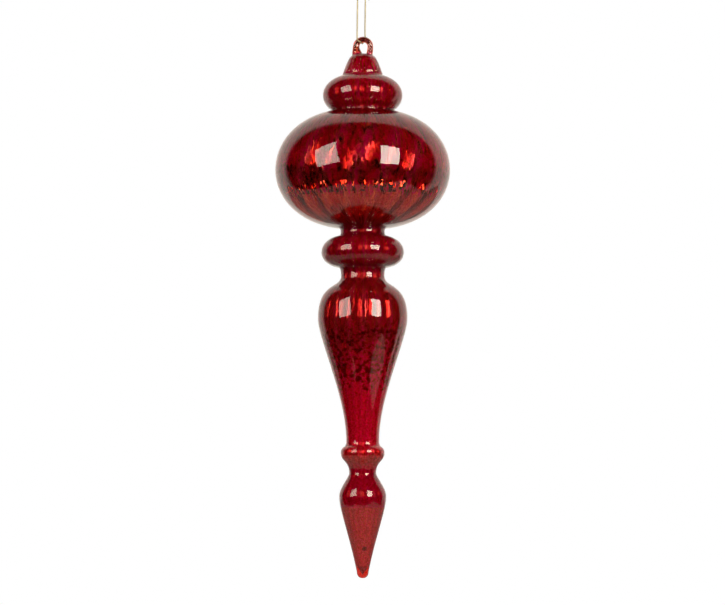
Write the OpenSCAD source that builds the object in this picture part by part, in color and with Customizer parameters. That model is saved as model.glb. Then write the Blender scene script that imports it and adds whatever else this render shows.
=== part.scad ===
// Blown glass finial drop for a Christmas tree, hung on a loop of metallic thread.
// The glass is one hollow, sealed piece: a cap with a drawn eye, a bead, a wide flattened
// ball, a collar, a vase-shaped body, a small ring and a pointed teardrop. Optic ribs run
// down the inside of its wall and swirl through the ball; its outside is smooth.
// The origin is where the thread bears on the inside top of the eye. +Z is up and the
// hole of the eye runs along Y.

/* [Eye] */
// Radius of the round top of the eye's hole
eye_hole_r = 2.35; // [1.8:0.05:3.2]
// Height of the hole, from its top down to the dome of the cap
eye_hole_h = 6.5; // [5.5:0.1:9]
// Radius of the glass rod over the top of the eye
eye_rod_r = 1.55; // [1.1:0.05:2]
// Radius of the thick foot where the rod was drawn from the cap
eye_foot_r = 3.2; // [2.4:0.1:3.6]
// Radius of the rod's other end, pressed onto the cap
eye_end_r = 1.85; // [1.3:0.05:2.2]
// How far the middle of the eye lies beside the axis of the glass
eye_shift = 0.35; // [0:0.05:1]

/* [Cap] */
// Height of the cap, from its dome to its seam with the bead
cap_h = 12.6; // [9:0.1:18]
// Height of the domed top of the cap
cap_dome_h = 3.3; // [2.5:0.1:5]
// Radius of the cap at the shoulder under its dome
cap_shoulder_r = 7.8; // [7:0.1:9]
// Radius of the cap where it meets the bead
cap_base_r = 11.5; // [9.5:0.1:14]

/* [Bead] */
// Radius of the bead at its widest
bead_r = 22.15; // [18:0.05:28]
// Height of the bead's upper half, drawn on to its pole
bead_up_h = 11.8; // [8:0.1:16]
// Height of the bead's lower half, drawn on to its pole
bead_down_h = 11.5; // [8:0.1:16]
// Fullness of the bead: 2 is an ellipse, and more is squarer
bead_full = 2.8; // [2:0.1:4]

/* [Ball] */
// Radius of the ball at its widest
ball_r = 48.5; // [38:0.5:60]
// Height of the ball's upper half, drawn on to its pole
ball_up_h = 33.8; // [24:0.1:48]
// Height of the ball's lower half, drawn on to its pole
ball_down_h = 32.8; // [24:0.1:48]
// Fullness of the ball
ball_full = 2.5; // [2:0.1:3.5]
// Radius of the seam between the bead and the ball
ball_seam_r = 15.8; // [12:0.1:17]

/* [Collar] */
// Height of the neck between the ball and the collar
neck_h = 4.6; // [3:0.1:12]
// Radius of that neck at its narrowest
neck_r = 12.2; // [10.5:0.05:13]
// Radius of the neck's two ends, at its seams
neck_lip_r = 13.3; // [13.1:0.05:15]
// Radius of the collar at its widest
collar_r = 22.85; // [19:0.05:28]
// Height of the collar's upper half, drawn on to its pole
collar_up_h = 9.8; // [7:0.1:14]
// Height of the collar's lower half, drawn on to its pole
collar_down_h = 9; // [6:0.1:14]
// Fullness of the collar
collar_full = 3.7; // [2:0.1:4.5]
// Radius of the collar's lower seam
collar_seam_r = 12.9; // [12.7:0.05:14.5]

/* [Vase] */
// Height of the straight throat under the collar
throat_h = 4.6; // [3:0.1:12]
// Radius of the throat
throat_r = 12.05; // [10.5:0.05:12.6]
// Radius of the vase at its shoulder
vase_r = 24.75; // [20:0.05:30]
// Height from the throat down to the shoulder
vase_shoulder_h = 23.5; // [18:0.1:32]
// Height of the taper from the shoulder down to the waist
vase_taper_h = 67.6; // [50:0.1:90]
// Radius of the waist at the foot of the taper
waist_r = 9.05; // [7.5:0.05:9.8]

/* [Ring] */
// Height of the flare from the waist out to the ring
flare_h = 3; // [2:0.1:6]
// Radius of the seam on top of the ring
ring_seam_r = 10; // [9.9:0.05:11]
// Radius of the small ring at its widest
ring_r = 12.05; // [11.5:0.05:15]
// Height of the ring's upper half, drawn on to its pole
ring_up_h = 4.2; // [3:0.1:7]
// Height of the ring's lower half, drawn on to its pole
ring_down_h = 5.3; // [3.5:0.1:8]
// Height of the cone from the ring down to the stem
ring_cone_h = 8.3; // [6:0.1:12]

/* [Teardrop] */
// Radius of the stem between the ring and the teardrop
stem_r = 7.4; // [6:0.05:9]
// Radius of the teardrop at its widest
drop_r = 12.95; // [10:0.05:17]
// Height from the stem down to the widest part of the teardrop
drop_up_h = 13; // [9:0.1:20]
// Height of the teardrop's long taper
drop_taper_h = 41; // [28:0.1:60]
// Radius at the end of the taper, where the tip rounds off
tip_r = 3.25; // [2.6:0.05:4.5]
// Height of the rounded tip
tip_h = 3.55; // [2.5:0.05:6]

/* [Glass] */
// Mean wall of the blown glass
wall = 1.6; // [1.2:0.05:2.2]
// Wall of the cap's dome, which carries the eye
cap_wall = 3; // [2.4:0.1:4]
// Length of solid glass in the tip
tip_solid_h = 5; // [4:0.5:12]
// Number of optic ribs on the inside of the wall
rib_count = 18; // [10:1:20]
// Depth of a rib on the ball, to each side of the mean wall
rib_depth = 0.45; // [0.1:0.05:0.7]
// Angle that the ribs turn through down the ball, in degrees
ball_swirl = 30; // [0:1:60]
// Angle that the ribs turn through down the vase, in degrees
vase_swirl = 8; // [0:1:30]

/* [Thread] */
// Diameter of the metallic thread
thread_d = 0.8; // [0.6:0.05:0.9]
// Number of turns of thread in the knot that closes it into a loop
knot_turns = 3; // [2:1:4]
// Length of the knot's two cut tails, from the middle of the knot
tail_l = 3.5; // [2:0.1:5]

/* [Hidden] */
$fn = 96;

// Levels of the glass from the top down, each seam under the one before
cap_z = -eye_hole_h;
bead_z = cap_z - cap_h;
ball_z = bead_z - lobe_h(bead_r, bead_up_h, bead_down_h, bead_full, cap_base_r, ball_seam_r);
neck_z = ball_z - lobe_h(ball_r, ball_up_h, ball_down_h, ball_full, ball_seam_r, neck_lip_r);
collar_z = neck_z - neck_h;
throat_z = collar_z
    - lobe_h(collar_r, collar_up_h, collar_down_h, collar_full, neck_lip_r, collar_seam_r);
vase_z = throat_z - throat_h;
shoulder_z = vase_z - vase_shoulder_h;
waist_z = shoulder_z - vase_taper_h;
ring_z = waist_z - flare_h;
ring_full = 6;
ring_low_r = 0.95 * ring_r;
cone_z = ring_z - lobe_h(ring_r, ring_up_h, ring_down_h, ring_full, ring_seam_r, ring_low_r);
stem_z = cone_z - ring_cone_h;
drop_z = stem_z - drop_up_h;
tip_z = drop_z - drop_taper_h;
end_z = tip_z - tip_h;

// Bend of the eye's rod, and the places of its two legs
bend_r = eye_hole_r + eye_rod_r;
bend_z = -eye_hole_r;
left_x = eye_shift - bend_r - 0.2;
right_x = eye_shift + bend_r;
// How far the rod's foot and its other end are drawn in under the bend
foot_x = eye_shift - bend_r + 0.75;
end_x = right_x - 0.9;
// How deep both legs are melted into the cap
sunk_z = cap_z - 1.6;
// How much thicker the rod still is where the bend begins
eye_swell = 0.25;

// Height of a bulge between a seam above it and a seam below it
function lobe_h(r, up, down, full, r_top, r_low) =
    up * cos(asin(pow(r_top / r, full / 2))) + down * cos(asin(pow(r_low / r, full / 2)));

// Outline of a bulge, a superellipse between its two seams, without its first point
function lobe(r, up, down, full, r_top, r_low, z_top, n) =
    let (a0 = asin(pow(r_top / r, full / 2)))
    let (a1 = 180 - asin(pow(r_low / r, full / 2)))
    let (zc = z_top - up * cos(a0))
    [for (i = [1:n]) let (a = a0 + (a1 - a0) * i / n)
        [r * pow(sin(a), 2 / full), zc + (a < 90 ? up : down) * cos(a)]];

// Cubic curve through two ends with two handles, without its first point
function curve(a, b, c, d, n) =
    [for (i = [1:n]) let (t = i / n, s = 1 - t)
        s * s * s * a + 3 * s * s * t * b + 3 * s * t * t * c + t * t * t * d];

// Pinched neck: radius r at the middle, r_end at both ends
function pinch(r, r_end, z_top, h, n) =
    [for (i = [1:n]) let (t = i / n)
        [r + (r_end - r) * pow(abs(2 * t - 1), 3), z_top - h * t]];

// Outline of the glass from the dome down to the tip; q scales the number of points
function outline(q) =
    let (skirt = cap_base_r - cap_shoulder_r, skirt_h = cap_h - cap_dome_h)
    let (shoulder = [cap_shoulder_r, cap_z - cap_dome_h], base = [cap_base_r, bead_z])
    let (throat = [throat_r, vase_z], widest = [vase_r, shoulder_z], waist = [waist_r, waist_z])
    let (stem = [stem_r, stem_z], drop = [drop_r, drop_z], tip = [tip_r, tip_z])
    concat(
        [[0, cap_z]],
        curve([0, cap_z], [0.7 * cap_shoulder_r, cap_z],
              shoulder + [-0.06 * cap_shoulder_r, 0.55 * cap_dome_h], shoulder, ceil(8 * q)),
        curve(shoulder, shoulder + [0.35 * skirt, -0.22 * skirt_h],
              base + [-0.22 * skirt, 0.25 * skirt_h], base, ceil(7 * q)),
        lobe(bead_r, bead_up_h, bead_down_h, bead_full, cap_base_r, ball_seam_r, bead_z,
             ceil(20 * q)),
        lobe(ball_r, ball_up_h, ball_down_h, ball_full, ball_seam_r, neck_lip_r, ball_z,
             ceil(36 * q)),
        pinch(neck_r, neck_lip_r, neck_z, neck_h, ceil(8 * q)),
        lobe(collar_r, collar_up_h, collar_down_h, collar_full, neck_lip_r, collar_seam_r,
             collar_z, ceil(22 * q)),
        [for (i = [1:ceil(4 * q)]) let (t = i / ceil(4 * q))
            [throat_r + (collar_seam_r - throat_r) * pow(1 - t, 3), throat_z - throat_h * t]],
        curve(throat, throat - [0, 0.3 * vase_shoulder_h],
              widest + [0, 0.86 * vase_shoulder_h], widest, ceil(18 * q)),
        curve(widest, widest - [0, 0.17 * vase_taper_h],
              waist + [0, 0.36 * vase_taper_h], waist, ceil(20 * q)),
        [for (i = [1:ceil(4 * q)]) let (t = i / ceil(4 * q))
            [waist_r + (ring_seam_r - waist_r) * pow(t, 3), waist_z - flare_h * t]],
        lobe(ring_r, ring_up_h, ring_down_h, ring_full, ring_seam_r, ring_low_r, ring_z,
             ceil(10 * q)),
        curve([ring_low_r, cone_z], [ring_low_r - 0.11 * ring_cone_h, cone_z - 0.23 * ring_cone_h],
              stem + [0, 0.6 * ring_cone_h], stem, ceil(8 * q)),
        curve(stem, stem - [0, 0.19 * drop_up_h],
              drop + [0, 0.39 * drop_up_h], drop, ceil(10 * q)),
        curve(drop, drop - [0, 0.18 * drop_taper_h],
              tip + [0.1, 0.49] * drop_taper_h, tip, ceil(14 * q)),
        [for (i = [1:ceil(7 * q)]) let (a = 90 * i / ceil(7 * q))
            [tip_r * pow(cos(a), 0.8), tip_z - tip_h * sin(a)]]
    );

// Offset from the outline's point i into the glass, for a wall of 1 along both of its sides
function inward(p, i) =
    let (above = inner_side(p[i] - p[i - 1]), below = inner_side(p[i + 1] - p[i]))
    (above + below) / (1 + above * below);
function inner_side(d) = [d.y, -d.x] / norm(d);

// Mean wall at a level: thicker towards the top of the cap
function wall_at(z) = wall + (cap_wall - wall) * max(0, z - bead_z) / cap_h;

// Angle by which the ribs have turned at a level
function swirl(z) =
    -ball_swirl * ease((ball_z - z) / (ball_z - neck_z))
    - vase_swirl * ease((vase_z - z) / (vase_z - waist_z));
function ease(t) = let (u = min(max(t, 0), 1)) u * u * (3 - 2 * u);

// Hollow inside of the glass, ribbed from the cap to the teardrop
module hollow() {
    sides = 4 * rib_count;
    o = outline(0.3);
    hollow_end_z = end_z + tip_solid_h;
    rows = [for (i = [2:len(o) - 2]) if (o[i].y > hollow_end_z + wall) i];
    ring = [for (i = rows) let (n = inward(o, i), r = o[i].x, w = wall_at(o[i].y))
        [for (k = [0:sides - 1])
            let (depth = w + rib_depth * sqrt(r / ball_r) * cos(90 * k))
            let (a = 360 * k / sides + swirl(o[i].y), rr = r + depth * n.x)
            [rr * cos(a), rr * sin(a), o[i].y + depth * n.y]]];
    points = concat([[0, 0, cap_z - cap_wall]], [for (row = ring) each row],
                    [[0, 0, hollow_end_z]]);
    last = len(points) - 1;
    tail = 1 + (len(ring) - 1) * sides;
    faces = concat(
        [for (k = [0:sides - 1]) [0, 1 + (k + 1) % sides, 1 + k]],
        [for (i = [0:len(ring) - 2], k = [0:sides - 1])
            let (a = 1 + i * sides + k, b = 1 + i * sides + (k + 1) % sides)
            each [[a, b, b + sides], [a, b + sides, a + sides]]],
        [for (k = [0:sides - 1]) [last, tail + k, tail + (k + 1) % sides]]);
    polyhedron(points, faces);
}

// Round rod swept along a list of points, each with its own radius
module rod(path, radii, sides) {
    count = len(path);
    ahead = [for (i = [0:count - 1])
        let (d = path[min(i + 1, count - 1)] - path[max(i - 1, 0)]) d / norm(d)];
    start = unit(cross(ahead[0], abs(ahead[0].y) < 0.9 ? [0, 1, 0] : [1, 0, 0]));
    side = carry(ahead, [start], 1);
    points = [for (i = [0:count - 1], k = [0:sides - 1]) let (a = 360 * k / sides)
        path[i] + radii[i] * (cos(a) * side[i] + sin(a) * cross(ahead[i], side[i]))];
    faces = concat(
        [[for (k = [0:sides - 1]) k]],
        [for (i = [0:count - 2], k = [0:sides - 1])
            let (a = i * sides + k, b = i * sides + (k + 1) % sides)
            each [[a, a + sides, b + sides], [a, b + sides, b]]],
        [[for (k = [sides - 1:-1:0]) (count - 1) * sides + k]]);
    polyhedron(points, faces);
}
function unit(v) = v / norm(v);
// Carries the side vector along the path without twisting it
function carry(ahead, done, i) =
    i >= len(ahead) ? done
    : let (s = done[i - 1] - (done[i - 1] * ahead[i]) * ahead[i])
      carry(ahead, concat(done, [unit(s)]), i + 1);

// Eye: a rod drawn up from the cap, bent over and pressed back onto it
module eye() {
    steps = 12;
    rise = [for (i = [0:4]) i / 5];
    over = [for (i = [0:steps]) i / steps];
    fall = [for (i = [1:4]) i / 4];
    path = concat(
        [for (t = rise) [foot_x + (left_x - foot_x) * t - 0.5 * t * (1 - t), 0,
                         sunk_z + (bend_z - sunk_z) * t]],
        [for (t = over) [eye_shift - bend_r * cos(180 * t), 0, bend_z + bend_r * sin(180 * t)]],
        [for (t = fall) [right_x + (end_x - right_x) * t * t, 0,
                         bend_z + (sunk_z - bend_z) * t]]);
    radii = concat(
        [for (t = rise) eye_foot_r + (eye_rod_r + eye_swell - eye_foot_r) * ease(t)],
        [for (t = over) eye_rod_r + eye_swell * pow(1 - t, 2)],
        [for (t = fall) eye_rod_r + (eye_end_r - eye_rod_r) * t]);
    rod(path, radii, 14);
}

// The blown glass: smooth outside, ribbed hollow inside, eye drawn from the cap
module glass_drop() {
    color("#8f0c16")
    difference() {
        union() {
            rotate_extrude() polygon(outline(1));
            eye();
        }
        hollow();
    }
}

// Knot: its middle line stands on one strand of the loop, and its height follows its turns
knot_at = [1.5, 1.1, 25];
knot_h = 1.25 * knot_turns * thread_d;
turn_gap = 0.9 * thread_d;
turn_tilt = 7;
tail_tilt = 48;

// Route of the thread from the underside of the knot, down behind the eye, through its
// hole, up in front, over the bight and down to the top of the knot
thread_route = [
    knot_at, [1.5, 1.1, 23.5], [1.45, 1.2, 20], [1.4, 1.4, 16], [1.35, 1.55, 12.5],
    [1.3, 1.7, 9], [1.3, 1.9, 5.5], [1.4, 2.1, 3.4], [1.35, 2.15, 2], [1, 2.1, 1.2],
    [0.5, 1.9, 0.55], [0.15, 1.4, -0.05], [-0.05, 0.75, -0.5], [-0.25, 0, -0.7],
    [-0.5, -0.75, -0.65], [-0.9, -1.45, -0.4], [-1.55, -2, 0], [-2.3, -2.2, 0.4],
    [-2.85, -2.25, 0.95], [-3.1, -2.2, 2], [-3.1, -2.1, 3.5], [-3.1, -1.95, 6],
    [-3.05, -1.8, 9], [-3, -1.6, 13], [-2.95, -1.4, 17], [-2.9, -1.2, 21], [-2.85, -1, 25],
    [-2.8, -0.8, 29], [-2.7, -0.6, 32.3], [-2.4, -0.4, 34], [-1.7, -0.1, 35.4],
    [-0.65, 0.25, 35.9], [0.4, 0.6, 35.4], [1.2, 0.9, 34], [1.5, 1.1, 32.2],
    knot_at + [0, 0, knot_h + 1.5], knot_at + [0, 0, knot_h]
];

// Metallic thread, plain and round
module hanging_thread() {
    color("#a8925a") rod(thread_route, [for (p = thread_route) thread_d / 2], 8);
}

// Knot: turns of thread drawn tight round both ends, with two short cut tails
module thread_knot() {
    color("#b39b5f")
    translate(knot_at) {
        cylinder(h = knot_h, r = 0.9 * thread_d, $fn = 24);
        translate([0, 0, knot_h / 2]) {
            for (i = [0:knot_turns - 1])
                translate([0, 0, turn_gap * (i - (knot_turns - 1) / 2)])
                rotate([turn_tilt, turn_tilt, 0])
                rotate_extrude($fn = 24) translate([thread_d, 0]) circle(d = thread_d, $fn = 12);
            rotate([0, tail_tilt, -20]) cylinder(h = tail_l, d = thread_d, $fn = 12);
            rotate([0, 180 - tail_tilt, 35]) cylinder(h = tail_l, d = thread_d, $fn = 12);
        }
    }
}

glass_drop();
hanging_thread();
thread_knot();
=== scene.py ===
"""Blown glass Christmas drop: red glass, silvered on its ribbed inside, hung on gold thread.

Everything is in metres, with the origin where the thread bears on the glass eye and +Z up.
"""

from __future__ import annotations

import logging
import math
from dataclasses import dataclass, field
from enum import Enum
from typing import Any

import bmesh
import bpy
import numpy as np
from mathutils import Matrix, Vector

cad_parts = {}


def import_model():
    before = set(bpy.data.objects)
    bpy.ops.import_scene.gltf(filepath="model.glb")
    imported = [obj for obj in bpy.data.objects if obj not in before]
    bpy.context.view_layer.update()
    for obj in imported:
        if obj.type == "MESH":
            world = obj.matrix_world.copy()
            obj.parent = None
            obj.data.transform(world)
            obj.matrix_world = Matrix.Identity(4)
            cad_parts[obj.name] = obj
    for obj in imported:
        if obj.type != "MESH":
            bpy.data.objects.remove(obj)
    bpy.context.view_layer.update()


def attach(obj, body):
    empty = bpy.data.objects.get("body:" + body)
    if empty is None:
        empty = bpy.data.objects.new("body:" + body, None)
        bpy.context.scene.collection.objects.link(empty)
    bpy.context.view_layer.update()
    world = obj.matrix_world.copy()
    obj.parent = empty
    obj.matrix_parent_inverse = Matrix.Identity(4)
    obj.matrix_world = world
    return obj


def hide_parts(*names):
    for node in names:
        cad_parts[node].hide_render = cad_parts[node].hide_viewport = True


LOG = logging.getLogger("glass_drop")
MM = 0.001
Point = tuple[float, float]
Point3 = tuple[float, float, float]
Tree = bpy.types.NodeTree
Socket = bpy.types.NodeSocket


class Node(Enum):
    """Names of the CAD nodes that the pieces stand for."""

    GLASS = "glass_drop"
    THREAD = "hanging_thread"
    KNOT = "thread_knot"


def linear(hex_colour: str) -> tuple[float, float, float, float]:
    """Turns an sRGB hex colour into linear light.

    Args:
        hex_colour: Six hex digits after a hash sign.

    Returns:
        Linear red, green, blue and an alpha of one.
    """
    parts = [int(hex_colour[i : i + 2], 16) / 255 for i in (1, 3, 5)]
    light = [c / 12.92 if c <= 0.04045 else ((c + 0.055) / 1.055) ** 2.4 for c in parts]
    return (light[0], light[1], light[2], 1.0)


def per_size(size_mm: float) -> float:
    """Scale of a texture whose features are about size_mm across."""
    return 1.0 / (size_mm * MM)


def add_node(tree: Tree, kind: str, settings: dict[str, Any] | None = None,
             inputs: dict[Any, Any] | None = None) -> bpy.types.Node:
    """Adds a node with its settings, its constants and its links.

    Args:
        tree: Node tree that the node goes into.
        kind: Blender's type name of the node.
        settings: Attributes of the node and their values.
        inputs: Input sockets, by name or number, each with a constant or an output to link.

    Returns:
        The new node.
    """
    node = tree.nodes.new(kind)
    for name, value in (settings or {}).items():
        setattr(node, name, value)
    for socket, value in (inputs or {}).items():
        if isinstance(value, Socket):
            tree.links.new(value, node.inputs[socket])
        else:
            node.inputs[socket].default_value = value
    return node


def new_material(name: str) -> tuple[bpy.types.Material, Tree]:
    """Makes an empty node material.

    Args:
        name: Name of the finish.

    Returns:
        The material and its node tree.
    """
    material = bpy.data.materials.new(name)
    material.use_nodes = True
    material.node_tree.nodes.clear()
    return material, material.node_tree


def within(tree: Tree, height: Socket, top: float, low: float, edge: float) -> Socket:
    """Draws a belt between two levels, soft at both ends.

    Args:
        tree: Node tree of the material.
        height: Level in metres.
        top: Upper end of the belt.
        low: Lower end of the belt.
        edge: Height over which each end comes in.

    Returns:
        1 in the belt and 0 above and below it.
    """
    ends = [add_node(tree, "ShaderNodeMapRange", {"interpolation_type": "SMOOTHSTEP"}, {
        "Value": height, "From Min": end, "From Max": end + inward}).outputs["Result"]
            for end, inward in ((top, -edge), (low, edge))]
    return add_node(tree, "ShaderNodeMath", {"operation": "MULTIPLY"}, {
        0: ends[0], 1: ends[1]}).outputs["Value"]


def new_piece(name: str, points: np.ndarray, faces: list[tuple[int, ...]]) -> bpy.types.Object:
    """Makes a smooth-shaded mesh object at the origin.

    Args:
        name: Name of the piece.
        points: Its vertices, in metres.
        faces: Its faces, as tuples of vertex numbers.

    Returns:
        The object, linked to the scene.
    """
    mesh = bpy.data.meshes.new(name)
    mesh.from_pydata(points.tolist(), [], faces)
    mesh.update()
    mesh.shade_smooth()
    piece = bpy.data.objects.new(name, mesh)
    bpy.context.scene.collection.objects.link(piece)
    return piece


def ease(t: float) -> float:
    """Smooth step from 0 to 1."""
    u = min(max(t, 0.0), 1.0)
    return u * u * (3 - 2 * u)


@dataclass(frozen=True)
class BlownRedGlass:
    """Soda-lime glass coloured red in the melt and fire-polished as it was blown.

    It gives the eye hard, colourless reflections over a red depth. The colour lies in the
    glass itself, so thick glass is deeper red than the thin wall. The breath and the turning
    leave very slight waves in the skin, which bend the edges of the reflections. Levels are in
    metres.
    """

    skin: str = "#FFFFFF"
    melt: str = "#F6A26E"
    melt_density: float = 1250.0
    ior: float = 1.5
    roughness: float = 0.0
    wave_mm: float = 14.0
    wave_height_mm: float = 0.03
    wave_strength: float = 0.35
    tooling_mm: float = 1.3
    tooling_height_mm: float = 0.8
    tooling_stretch: float = 0.3
    tooled_top: float = -0.008
    tooled_low: float = -0.0185
    tooled_edge: float = 0.002

    def material(self) -> bpy.types.Material:
        """Builds the glass, with its waves and the red in its depth.

        Returns:
            The material.
        """
        material, tree = new_material("blown_red_glass")
        place = add_node(tree, "ShaderNodeTexCoord")
        waves = add_node(tree, "ShaderNodeTexNoise", {}, {
            "Vector": place.outputs["Object"], "Scale": per_size(self.wave_mm), "Detail": 1.0})
        skin = add_node(tree, "ShaderNodeBump", {}, {
            "Strength": self.wave_strength, "Distance": self.wave_height_mm * MM,
            "Height": waves.outputs["Fac"],
            "Normal": self.tooling(tree, place.outputs["Object"])})
        glass = add_node(tree, "ShaderNodeBsdfPrincipled", {}, {
            "Base Color": linear(self.skin), "Roughness": self.roughness, "IOR": self.ior,
            "Transmission Weight": 1.0, "Normal": skin.outputs["Normal"]})
        depth = add_node(tree, "ShaderNodeVolumeAbsorption", {}, {
            "Color": linear(self.melt), "Density": self.melt_density})
        add_node(tree, "ShaderNodeOutputMaterial", {}, {
            "Surface": glass.outputs["BSDF"], "Volume": depth.outputs["Volume"]})
        return material

    def tooling(self, tree: Tree, place: Socket) -> Socket:
        """Makes the shallow upright marks of the tool that narrowed the cap.

        Args:
            tree: Node tree of the material.
            place: Object coordinates.

        Returns:
            The normal of the marked skin.
        """
        upright = add_node(tree, "ShaderNodeVectorMath", {"operation": "MULTIPLY"}, {
            0: place, 1: (1.0, 1.0, self.tooling_stretch)})
        marks = add_node(tree, "ShaderNodeTexNoise", {}, {
            "Vector": upright.outputs["Vector"], "Scale": per_size(self.tooling_mm),
            "Detail": 1.0})
        height = add_node(tree, "ShaderNodeSeparateXYZ", {}, {"Vector": place}).outputs["Z"]
        tooled = within(tree, height, self.tooled_top, self.tooled_low, self.tooled_edge)
        relief = add_node(tree, "ShaderNodeMath", {"operation": "MULTIPLY"}, {
            0: marks.outputs["Fac"], 1: tooled})
        return add_node(tree, "ShaderNodeBump", {}, {
            "Strength": 1.0, "Distance": self.tooling_height_mm * MM,
            "Height": relief.outputs["Value"]}).outputs["Normal"]


@dataclass(frozen=True)
class SpeckledSilvering:
    """Silver deposited from solution on the inside of the blown glass, seen through red glass.

    It gives the eye a deep, finely speckled red that flashes where a lamp is mirrored, because
    the deposit is thin and uneven: here it mirrors the room, and there it is matt. Fine creases
    run up and down it. Their hollows are matt, and their slopes break the mirrored lamps into
    streaks and glints. The film has gone black in blotches, most of all round the middle of the
    vase, and in one small spot in the teardrop.

    Levels are in metres. A row of by_height holds a level, the share of matt silver there, the
    painted light and shade that the colour is multiplied by, which darkens or lightens the film
    level by level, and the depth of the creases. A belt holds its two ends and the noise above
    which its silver is black, which is blotch_rare elsewhere.
    """

    bright: str = "#FFDABC"
    matt: str = "#F02CFF"
    black: str = "#741226"
    roughness: float = 0.06
    speckle_mm: float = 0.35
    speckle_height_mm: float = 0.006
    speckle_contrast: float = 2.2
    mottle_mm: float = 0.9
    mottle_dark: float = 0.52
    mottle_range: Point = (0.35, 0.62)
    blotch_mm: float = 2.6
    blotch_rare: float = 0.72
    blotch_edge: Point = (-0.07, 0.05)
    belt_edge: float = 0.012
    crease_mm: float = 1.6
    crease_height_mm: float = 2.0
    crease_radius: float = 0.035
    crease_stretch: float = 0.28
    crease_contrast: float = 20.0
    spot: Point3 = (0.0009, -0.0045, -0.2804)
    spot_radius: float = 0.0011
    # The third column is painted light and shade: below 1 it darkens the film at its level, most
    # of all in the eye and across the ball, and above 1 it lightens the vase's lower taper.
    by_height: tuple[tuple[float, float, float, float], ...] = (
        (-0.296, 0.54, 1.0, 0.01), (-0.2585, 0.54, 1.0, 0.02), (-0.2565, 0.95, 0.7, 0.03),
        (-0.239, 0.95, 0.7, 0.03), (-0.232, 0.45, 1.0, 0.02), (-0.222, 0.8, 1.1, 0.05),
        (-0.185, 0.8, 1.1, 0.05), (-0.165, 0.6, 0.72, 0.07), (-0.134, 0.6, 0.55, 0.08),
        (-0.13, 0.75, 0.55, 0.08), (-0.104, 0.75, 0.6, 0.08), (-0.1, 0.4, 1.0, 0.06),
        (-0.0945, 0.4, 1.0, 0.06), (-0.0915, 0.4, 1.0, 0.08), (-0.0885, 0.42, 1.0, 0.2),
        (-0.0858, 0.42, 1.0, 0.95), (-0.0825, 0.5, 0.7, 0.14), (-0.078, 0.62, 0.42, 0.16),
        (-0.07, 0.7, 0.78, 0.17), (-0.052, 0.7, 0.42, 0.17), (-0.044, 0.45, 0.5, 0.06),
        (-0.039, 0.45, 0.4, 0.06), (-0.0375, 0.72, 0.65, 0.1), (-0.02, 0.72, 0.65, 0.1),
        (-0.018, 0.72, 1.0, 0.2), (-0.007, 0.72, 1.0, 0.2), (-0.005, 0.35, 0.2, 0.1))
    # The second belt, under the ball's middle, holds the black mottles there and also darkens
    # that band as painted shade.
    belts: tuple[Point3, ...] = ((-0.152, -0.2, 0.53), (-0.065, -0.085, 0.56))

    def material(self) -> bpy.types.Material:
        """Builds the film, from matt to mirror and from red to black.

        Returns:
            The material.
        """
        material, tree = new_material("speckled_silvering")
        place = add_node(tree, "ShaderNodeTexCoord").outputs["Object"]
        height = add_node(tree, "ShaderNodeSeparateXYZ", {}, {"Vector": place}).outputs["Z"]
        speckle = add_node(tree, "ShaderNodeTexNoise", {}, {
            "Vector": place, "Scale": per_size(self.speckle_mm), "Detail": 2.0,
            "Roughness": 0.6})
        mottle = add_node(tree, "ShaderNodeTexNoise", {}, {
            "Vector": place, "Scale": per_size(self.mottle_mm), "Detail": 3.0,
            "Roughness": 0.65})
        folds = self.folds(tree, place)
        matt, painted_light_and_shade, crease = self.film_at(tree, height, speckle.outputs["Fac"], folds)
        film = add_node(tree, "ShaderNodeMix", {"data_type": "RGBA"}, {
            "Factor": matt, "A": linear(self.bright), "B": linear(self.matt)})
        shade = add_node(tree, "ShaderNodeMapRange", {}, {
            "Value": mottle.outputs["Fac"], "From Min": self.mottle_range[0],
            "From Max": self.mottle_range[1], "To Min": self.mottle_dark,
            "To Max": 1.0}).outputs["Result"]
        # The random mottle and the painted light and shade by level together darken the film's
        # colour.
        light = add_node(tree, "ShaderNodeMath", {"operation": "MULTIPLY"}, {
            0: shade, 1: painted_light_and_shade}).outputs["Value"]
        shaded = add_node(tree, "ShaderNodeVectorMath", {"operation": "SCALE"}, {
            "Vector": film.outputs["Result"], "Scale": light})
        colour = add_node(tree, "ShaderNodeMix", {"data_type": "RGBA"}, {
            "Factor": self.blackening(tree, place, height), "A": shaded.outputs["Vector"],
            "B": linear(self.black)})
        metal = add_node(tree, "ShaderNodeMath", {"operation": "SUBTRACT"}, {0: 1.0, 1: matt})
        relief = add_node(tree, "ShaderNodeBump", {}, {
            "Strength": 1.0, "Distance": self.speckle_height_mm * MM,
            "Height": speckle.outputs["Fac"], "Normal": self.creased(tree, folds, crease)})
        silver = add_node(tree, "ShaderNodeBsdfPrincipled", {}, {
            "Base Color": colour.outputs["Result"], "Metallic": metal.outputs["Value"],
            "Roughness": self.roughness, "Normal": relief.outputs["Normal"]})
        add_node(tree, "ShaderNodeOutputMaterial", {}, {"Surface": silver.outputs["BSDF"]})
        return material

    def film_at(self, tree: Tree, height: Socket, speckle: Socket,
                folds: Socket) -> tuple[Socket, Socket, Socket]:
        """Works out how matt, how light and how creased the film is at each place.

        Args:
            tree: Node tree of the material.
            height: Level in metres.
            speckle: Fine noise about one half.
            folds: Relief of the creases about one half.

        Returns:
            The share of matt silver, the painted light and shade, and the creases' depth, from 0
            to 1.
        """
        low, top = self.by_height[0][0], self.by_height[-1][0]
        along = add_node(tree, "ShaderNodeMapRange", {}, {
            "Value": height, "From Min": low, "From Max": top}).outputs["Result"]
        ramp = add_node(tree, "ShaderNodeValToRGB", {}, {"Fac": along})
        stops = ramp.color_ramp.elements
        while len(stops) < len(self.by_height):
            stops.new(0.5)
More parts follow.
